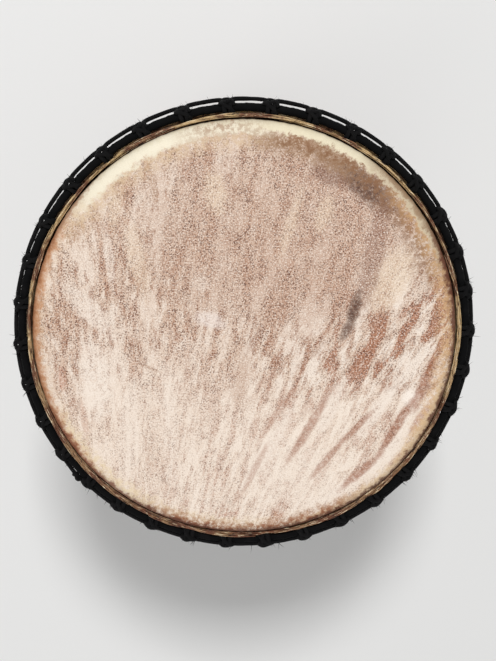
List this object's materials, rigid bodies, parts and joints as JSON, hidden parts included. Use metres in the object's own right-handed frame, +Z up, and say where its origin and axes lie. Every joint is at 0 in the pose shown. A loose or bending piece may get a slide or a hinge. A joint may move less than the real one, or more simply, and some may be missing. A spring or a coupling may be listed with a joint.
{
  "type": "djembe",
  "caption": "Goblet-shaped, rope-tuned djembe with a mottled goat-skin head, black cloth-bound rings and black ropes, standing on its foot.",
  "frame": {"origin": "centre of the foot's bottom face, on the drum's axis", "axes": "+Z up along the drum's axis, from the foot to the head; +X passes through one hitch of each row of loops"},
  "size_m": [0.3668, 0.3663, 0.6],
  "materials": {
    "goat_skin": "matte, scraped, with pores and mottling",
    "carved_wood": "hand-carved hardwood, oiled",
    "steel_rod": "plain welded mild steel rod",
    "black_cloth": "thin cotton strip, matte",
    "black_rope": "braided polyester, matte, fuzzy"
  },
  "bodies": {
    "root": {"shell": "carved_wood", "drum_skin": "goat_skin", "flesh_ring": "steel_rod", "crown_ring": "steel_rod", "bottom_ring": "steel_rod", "flesh_ring_binding": "black_cloth", "crown_ring_binding": "black_cloth", "bottom_ring_binding": "black_cloth", "crown_cradle_rope": "black_rope", "bottom_cradle_rope": "black_rope", "tension_rope": "black_rope", "crown_cradle_knot": "black_rope", "bottom_cradle_knot": "black_rope", "tension_knot": "black_rope"}
  },
  "joints": []
}
